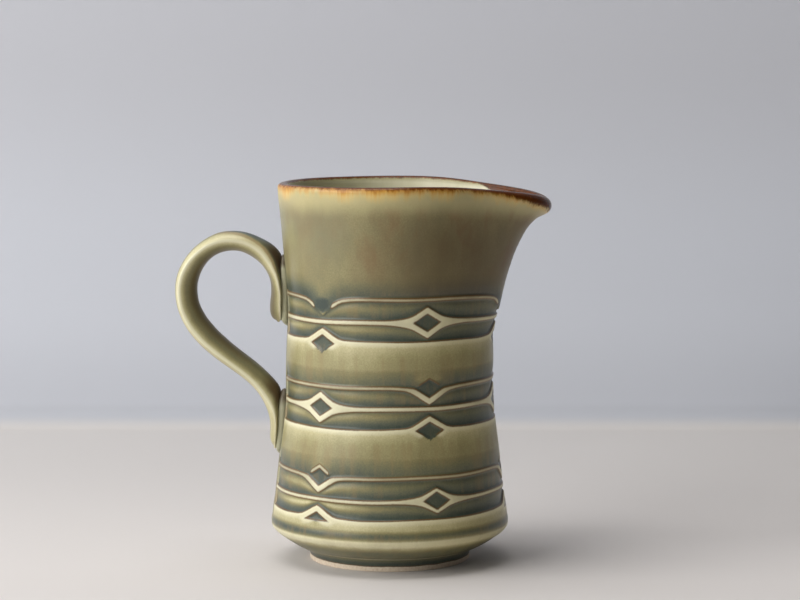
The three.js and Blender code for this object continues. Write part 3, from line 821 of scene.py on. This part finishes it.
def wall_material():
    net = Net("stoneware_glaze_body")
    line, shelf, pool, rim = (net.attr(k) for k in ("line", "shelf", "pool", "rim"))
    xyz = net.split(net.object)
    z = xyz[2]
    t = mottled(net, pool)
    base = net.ramp(t, GLAZE)
    # rust blush in the neck
    cloud = net.noise(net.stretch(1, 1, 0.55, (2, 9, 4)), 60, 4, 0.62, 0.4)
    neck = net.mul(net.step(z, 0.120, 0.138), net.step(z, 0.163, 0.150))
    side = net.step(xyz[0], -0.012, 0.034)
    drift = net.noise(net.stretch(1, 1, 0.6, (3, 7, 2)), 30, 3, 0.55, 0.3)
    base = net.mix(net.mul(net.mul(net.step(drift, 0.50, 0.34), neck), 0.55), base, srgb(126, 122, 94))
    base = net.mix(net.mul(net.mul(net.step(drift, 0.50, 0.66), neck), 0.55), base, srgb(122, 96, 64))
    base = net.mix(net.mul(net.mul(net.step(xyz[0], -0.004, -0.030), neck), 0.42), base, srgb(146, 142, 110))
    blush = net.mul(net.mul(net.step(cloud, 0.42, 0.66), neck), net.add(0.22, net.mul(side, 0.5)))
    base = net.mix(blush, base, srgb(140, 104, 70))
    # the upper neck is darker and browner towards its right side
    right_neck_darkening = net.mul(net.mul(side, net.step(z, 0.166, 0.140)), net.step(z, 0.112, 0.124))
    base = net.mix(net.mul(right_neck_darkening, 0.62), base, srgb(94, 76, 50))
    runs = net.noise(net.stretch(1, 1, 0.09, (5, 5, 1)), 210, 3, 0.6)
    low = net.mul(net.step(runs, 0.48, 0.66), net.mul(net.mul(net.step(z, 0.128, 0.112), 0.26), net.math("SUBTRACT", 1.0, net.attr("crisp"))))
    base = net.mix(low, base, srgb(146, 122, 82))
    # thin ridges break to cream, with a rusty outline where the glaze draws back
    ragged = net.noise(net.stretch(1, 1, 1, (4, 4, 4)), 1100, 3, 0.65)
    wob = net.mul(net.math("SUBTRACT", ragged, 0.5), 0.34)
    up = net.math("MAXIMUM", line, net.math("MINIMUM", shelf, 1.2))
    crisp = net.attr("crisp")
    near = net.mul(net.mul(net.step(net.add(up, wob), -0.8, -0.25), net.step(up, 0.45, 0.1)), net.mul(crisp, 0.84))
    base = net.mix(near, base, srgb(112, 82, 43))
    bright = net.noise(net.stretch(1, 1, 1, (8, 3, 2)), 75, 3, 0.6)
    lines = net.mul(net.mul(net.step(net.add(line, wob), -0.28, 0.36), net.step(bright, 0.25, 0.62, (0.74, 1.0))), net.attr("gain"))
    base = net.mix(lines, base, CREAM)
    # the shelf is brightest at its edge
    on_shelf = net.mul(net.step(net.add(shelf, wob), -0.15, 0.3), crisp)
    glow = net.mul(on_shelf, net.step(net.add(shelf, net.mul(wob, 3.0)), 2.8, 0.2))
    base = net.mix(net.mul(glow, 0.8), base, CREAM)
    # painted shade: the right side, turned away from the light, is tinted warmer and a little darker
    base = net.mix(net.mul(net.step(xyz[0], 0.0, 0.050), 0.62), base, (1.0, 0.94, 0.74, 1), "MULTIPLY")
    # iron band on the rim, with amber runs below it
    drips = net.noise(net.stretch(1, 1, 0.05, (6, 1, 0)), 420, 4, 0.7)
    drips2 = net.noise(net.stretch(1, 1, 0.25, (2, 2, 0)), 60, 3, 0.6)
    lip = net.step(xyz[0], 0.056, 0.080)
    reach = net.add(net.mul(net.math("SUBTRACT", drips, 0.5), 5.0), net.mul(net.math("SUBTRACT", drips2, 0.5), 11.0))
    cream_below = net.mul(net.step(net.add(rim, net.mul(reach, 0.35)), 15.0, 5.5), net.step(rim, -3.0, 1.0))
    base = net.mix(net.mul(cream_below, 0.66), base, srgb(208, 197, 146))
    below = net.math("SUBTRACT", rim, net.add(reach, net.add(4.2, net.mul(lip, 1.2))))
    amber = net.mul(net.step(below, 3.4, -2.6), net.step(rim, -2.4, -0.6))
    base = net.mix(net.mul(amber, 0.92), base, net.ramp(net.add(net.mul(drips, 0.7), net.step(rim, 5.5, 0.6, (0.0, 0.42))), [(0.34, srgb(228, 196, 122)), (0.52, srgb(214, 164, 76)), (0.68, srgb(186, 124, 38)), (0.82, srgb(140, 80, 20))]))
    edge_noise = net.noise(net.stretch(1, 1, 0.4, (1, 6, 3)), 620, 4, 0.7)
    brown_to = net.add(net.add(net.step(xyz[0], -0.030, 0.045, (1.2, 2.1)), net.mul(net.math("SUBTRACT", edge_noise, 0.5), 4.0)), net.mul(lip, net.add(2.1, net.mul(net.math("SUBTRACT", drips, 0.5), 7.0))))
    throat = net.step(net.add(xyz[0], net.mul(net.math("SUBTRACT", drips2, 0.5), 0.012)), 0.050, 0.066)
    brown_in = net.add(net.add(-2.15, net.mul(net.math("SUBTRACT", drips, 0.5), 1.8)), net.add(net.mul(lip, -3.5), net.mul(throat, -6.0)))
    brown = net.mul(net.step(net.math("SUBTRACT", rim, brown_to), 1.3, -0.9), net.step(net.math("SUBTRACT", rim, brown_in), -0.6, 0.6))
    base = net.mix(net.mul(brown, 0.97), base, net.ramp(edge_noise, [(0.3, srgb(56, 24, 6)), (0.62, srgb(96, 46, 10)), (0.8, srgb(150, 88, 30))]))
    # inside, the glaze is paler and greyer
    inside = net.step(rim, -2.0, -4.2)
    tin = mottled(net, 0.22, 0.12, 0.10, 0.03)
    inner = net.ramp(tin, [(0.0, srgb(230, 226, 202)), (0.3, srgb(208, 204, 174)), (0.6, srgb(172, 166, 132))])
    # painted shade: the inside is darker towards its left side, which the light does not reach
    inner = net.mix(net.step(xyz[0], 0.024, -0.036, (0.0, 0.55)), inner, srgb(150, 147, 108))
    base = net.mix(net.mul(inside, net.math("SUBTRACT", 1.0, brown)), base, inner)
    surface(net, base)
    satin = net.bsdf.inputs["Roughness"].links[0].from_socket
    net.put(net.bsdf.inputs["Roughness"], net.math("MULTIPLY_ADD", brown, -0.14, satin))
    net.put(net.bsdf.inputs["Specular IOR Level"], net.math("MULTIPLY_ADD", brown, -0.22, 0.42))
    return net.material


def inside_material():
    net = Net("stoneware_glaze_inside")
    z = net.split(net.object)[2]
    tin = mottled(net, 0.25, 0.08, 0.14, 0.04)
    base = net.ramp(tin, [(0.0, srgb(214, 208, 178)), (0.3, srgb(192, 186, 154)), (0.6, srgb(150, 146, 118))])
    under = net.step(z, 0.0085, 0.0075)
    base = net.mix(under, base, net.ramp(mottled(net, 0.7), GLAZE))
    surface(net, base)
    return net.material


def foot_material():
    net = Net("stoneware_foot")
    z = net.split(net.object)[2]
    edge = net.noise(net.stretch(1, 1, 1), 120, 4, 0.6)
    tide = net.add(z, net.mul(net.math("SUBTRACT", edge, 0.5), 0.0010))
    glazed = net.step(tide, 0.00195, 0.00225)
    pool = net.step(z, 0.0060, 0.0030, (0.55, 0.92))
    g = net.ramp(mottled(net, pool), GLAZE)
    rim_line = net.mul(net.step(tide, 0.0027, 0.0022), glazed)
    g = net.mix(net.mul(rim_line, 0.8), g, srgb(122, 88, 52))
    grit = net.noise(net.stretch(1, 1, 1, (3, 3, 3)), 900, 4, 0.7)
    clay = net.ramp(grit, [(0.28, srgb(208, 188, 164)), (0.5, srgb(224, 208, 186)), (0.72, srgb(236, 223, 204))])
    net.put(net.bsdf.inputs["Base Color"], net.mix(glazed, clay, g))
    net.put(net.bsdf.inputs["Roughness"], net.step(glazed, 0.0, 1.0, (0.78, 0.3)))
    net.put(net.bsdf.inputs["Normal"], net.bump(grit, 0.00006, 1.0))
    return net.material


def handle_material():
    net = Net("stoneware_glaze_handle")
    off, face, along = (net.attr(k) for k in ("edge", "face", "along"))
    wander = net.noise(net.stretch(1, 1, 1, (5, 2, 7)), 160, 4, 0.6)
    place = net.add(off, net.mul(net.math("SUBTRACT", wander, 0.5), 0.24))
    # thin and pale over the arris and the outer face, deeper towards the fingers
    t = net.step(place, -0.80, -0.06, (0.54, 0.08))
    t = net.add(t, net.mul(net.step(place, -0.95, -1.25), 0.08))
    t = net.add(t, net.step(off, 0.2, 0.7, (0.0, 0.14)))
    t = net.add(t, net.mul(net.step(net.add(face, net.mul(net.math("SUBTRACT", wander, 0.5), 0.10)), 0.84, 0.97), 0.34))
    # it pools blue on the outer face near the joints, rust coloured in the crotch above and below
    start = net.math("MULTIPLY_ADD", along, 3.0, -0.18)
    crown = net.mul(net.step(net.math("SUBTRACT", place, start), 0.0, 0.26), net.step(along, 0.37, 0.30))
    t = net.add(t, net.mul(crown, 0.60))
    base = net.ramp(mottled(net, t, 0.05, 0.16, 0.09), GLAZE)
    upper = net.mul(net.step(along, 0.100, 0.128), net.step(along, 0.222, 0.175))
    lower = net.mul(net.step(along, 0.795, 0.845), net.step(along, 0.915, 0.875))
    base = net.mix(net.mul(net.mul(upper, net.step(place, 0.30, 0.75)), 0.9), base, srgb(62, 36, 16))
    base = net.mix(net.mul(net.mul(lower, net.step(place, -0.35, -0.9)), 0.78), base, srgb(88, 60, 30))
    # painted shade: brown along the strap's inner edge, where it turns away from the light
    base = net.mix(net.mul(net.mul(net.step(place, -0.72, -1.12), net.step(along, 0.80, 0.70)), 0.5), base, srgb(104, 82, 50))
    # a rust-coloured tide line between the deep glaze and the thin
    edge = net.math("SUBTRACT", place, start)
    tide = net.mul(net.mul(net.step(edge, -0.18, -0.04), net.step(edge, 0.16, 0.02)), net.step(along, 0.36, 0.26))
    base = net.mix(net.mul(tide, 0.5), base, srgb(124, 86, 44))
    # cream along the arris: partly the glaze breaking thin over the edge, partly a painted highlight
    arris = net.mul(net.step(net.math("ABSOLUTE", off), 0.25, 0.05), net.step(along, 0.07, 0.2, (0.97, 0.92)))
    base = net.mix(arris, base, CREAM)
    surface(net, base)
    return net.material


def pad_material():
    net = Net("stoneware_glaze_pooled")
    base = net.ramp(mottled(net, 0.32, 0.1, 0.2, 0.08), GLAZE)
    z = net.split(net.object)[2]
    # painted light: pale grey is mixed in to brighten the pad where the strap shades it
    base = net.mix(0.6, base, srgb(186, 188, 164))
    crotch = net.add(net.step(z, 0.1270, 0.1300), net.mul(net.step(z, 0.0660, 0.0715), net.step(z, 0.090, 0.085)))
    base = net.mix(net.mul(crotch, 0.8), base, srgb(66, 42, 22))
    surface(net, base)
    return net.material


wall = build_wall()
foot = build_foot()
floor = build_floor()
strap = build_strap()
upper_pad = build_pad("upper_joint_slip", [
    (101.9, -43.5, -45.4, 3.0), (103.5, -43.5, -46.8, 5.2), (106.0, -43.5, -47.8, 6.3), (112.0, -43.5, -48.0, 6.7),
    (119.0, -43.5, -48.0, 6.7), (125.0, -43.8, -48.0, 6.6), (129.5, -44.4, -47.8, 6.2), (132.0, -45.0, -47.6, 5.2), (133.4, -45.4, -47.4, 3.6),
])
lower_pad = build_pad("lower_joint_slip", [
    (45.6, -47.0, -49.2, 2.6), (48.0, -46.6, -50.0, 4.6), (52.0, -46.0, -50.1, 5.7), (58.0, -45.2, -49.8, 6.0),
    (65.0, -44.6, -49.2, 6.0), (70.0, -44.4, -48.6, 5.6), (74.6, -44.6, -47.6, 3.6),
])

for piece, node, slot, material in (
    (wall, "body_wall", "body_glaze", wall_material()),
    (floor, "floor_disc", "inside_glaze", inside_material()),
    (foot, "foot_ring", "foot_clay", foot_material()),
    (strap, "handle", "handle_glaze", handle_material()),
    (upper_pad, "upper_handle_joint", "pooled_glaze", pad_material()),
    (lower_pad, "lower_handle_joint", "pooled_glaze", pad_material()),
):
    piece.data.materials.append(material)
    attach(piece, "root")
    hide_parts(node)


# ------------------------------------------------------------------ stage, light and camera
def build_stage():
    back, cove = 0.376, 0.012
    prof = [(-1.9, 0.0)] + [(y, 0.0) for y in np.linspace(-1.5, back - cove, 12)]
    prof += [(back - cove + cove * math.sin(a), cove - cove * math.cos(a)) for a in np.linspace(0.15, math.pi / 2, 9)]
    prof += [(back, z) for z in (0.1, 0.3, 0.7, 1.3)]
    xs = np.linspace(-2.2, 2.2, 12)
    verts = [(float(x), float(y), float(z)) for y, z in prof for x in xs]
    w = len(xs)
    faces = [(i * w + j, i * w + j + 1, (i + 1) * w + j + 1, (i + 1) * w + j) for i in range(len(prof) - 1) for j in range(w - 1)]
    me = bpy.data.meshes.new("studio_sweep")
    me.from_pydata(verts, [], faces)
    me.update()
    me.polygons.foreach_set("use_smooth", [True] * len(me.polygons))
    ob = bpy.data.objects.new("studio_sweep", me)
    bpy.context.scene.collection.objects.link(ob)
    net = Net("sweep_paper")
    x, y, z = net.split(net.object)
    up = net.step(z, 0.0, 0.008)
    grain = net.noise(net.stretch(1, 1, 1), 300, 3, 0.6)
    table = net.mix(net.mul(grain, 0.06), (0.70, 0.668, 0.650, 1), (0.648, 0.625, 0.612, 1))
    # painted shade: the table is darker towards the back
    table = net.mix(net.step(y, -0.10, 0.30), table, (0.60, 0.578, 0.565, 1))
    # painted shade: the backdrop is darker at the foot of the cove, which catches light from above, and again from 0.1
    # m up
    back_wall = net.mix(net.step(z, 0.004, 0.016), (0.50, 0.52, 0.57, 1), (0.60, 0.626, 0.688, 1))
    back_wall = net.mix(net.step(z, 0.016, 0.07), back_wall, (0.652, 0.682, 0.75, 1))
    back_wall = net.mix(net.step(z, 0.10, 0.22), back_wall, (0.585, 0.602, 0.655, 1))
    net.put(net.bsdf.inputs["Base Color"], net.mix(up, table, back_wall))
    net.bsdf.inputs["Roughness"].default_value = 0.75
    net.bsdf.inputs["Specular IOR Level"].default_value = 0.2
    # the sheet has one face, so that it doesn't hide the object from behind
    tree = net.material.node_tree
    out = next(n for n in tree.nodes if n.type == "OUTPUT_MATERIAL")
    one_sided = tree.nodes.new("ShaderNodeMixShader")
    tree.links.new(tree.nodes.new("ShaderNodeNewGeometry").outputs["Backfacing"], one_sided.inputs[0])
    tree.links.new(net.bsdf.outputs[0], one_sided.inputs[1])
    tree.links.new(tree.nodes.new("ShaderNodeBsdfTransparent").outputs[0], one_sided.inputs[2])
    tree.links.new(one_sided.outputs[0], out.inputs["Surface"])
    me.materials.append(net.material)


build_stage()

scene = bpy.context.scene
world = bpy.data.worlds.new("studio")
world.use_nodes = True
sky = world.node_tree
direction = sky.nodes.new("ShaderNodeTexCoord").outputs["Generated"]
parts = sky.nodes.new("ShaderNodeSeparateXYZ")
sky.links.new(direction, parts.inputs[0])
height = sky.nodes.new("ShaderNodeMapRange")
for key, value in (("From Min", 0.0), ("From Max", 1.0), ("To Min", 0.02), ("To Max", 0.066)):
    height.inputs[key].default_value = value
sky.links.new(parts.outputs[2], height.inputs["Value"])
sky.nodes["Background"].inputs[0].default_value = (1.0, 0.985, 0.96, 1)
ray = sky.nodes.new("ShaderNodeLightPath")
seen = sky.nodes.new("ShaderNodeMath")
seen.operation = "MAXIMUM"
shown = sky.nodes.new("ShaderNodeMath")
shown.operation = "MULTIPLY"
shown.inputs[1].default_value = 0.52
sky.links.new(ray.outputs["Is Camera Ray"], shown.inputs[0])
sky.links.new(shown.outputs[0], seen.inputs[0])
sky.links.new(height.outputs[0], seen.inputs[1])
sky.links.new(seen.outputs[0], sky.nodes["Background"].inputs[1])
scene.world = world


def area_light(name, at, towards, size, power, color):
    data = bpy.data.lights.new(name, "AREA")
    data.shape = "RECTANGLE"
    data.size, data.size_y = size
    data.energy = power
    data.color = color
    ob = bpy.data.objects.new(name, data)
    ob.location = at
    from mathutils import Vector
    ob.rotation_euler = (Vector(towards) - Vector(at)).to_track_quat("-Z", "Y").to_euler()
    scene.collection.objects.link(ob)
    return ob


area_light("window", (-1.70, -0.95, 0.97), (0.01, 0.0, 0.08), (2.1, 1.6), 47.0, (1.0, 0.985, 0.965))
area_light("ceiling", (-0.40, 0.10, 1.60), (-0.20, 0.10, 0.0), (1.2, 1.2), 16.0, (1.0, 0.985, 0.965))

camera_data = bpy.data.cameras.new("camera")
camera_data.lens = 117.0
camera_data.sensor_width = 36.0
camera_data.clip_start = 0.05
camera_data.clip_end = 20.0
camera = bpy.data.objects.new("camera", camera_data)
camera.location = ((AXIS_X + 4.5) * MM, -1.1289, 0.2278)
camera.rotation_euler = (math.radians(90 - 5.79), 0.0, 0.0)
scene.collection.objects.link(camera)
scene.camera = camera
scene.view_settings.view_transform = "Standard"
scene.view_settings.look = "None"
scene.view_settings.exposure = 0.0
scene.view_settings.gamma = 1.0
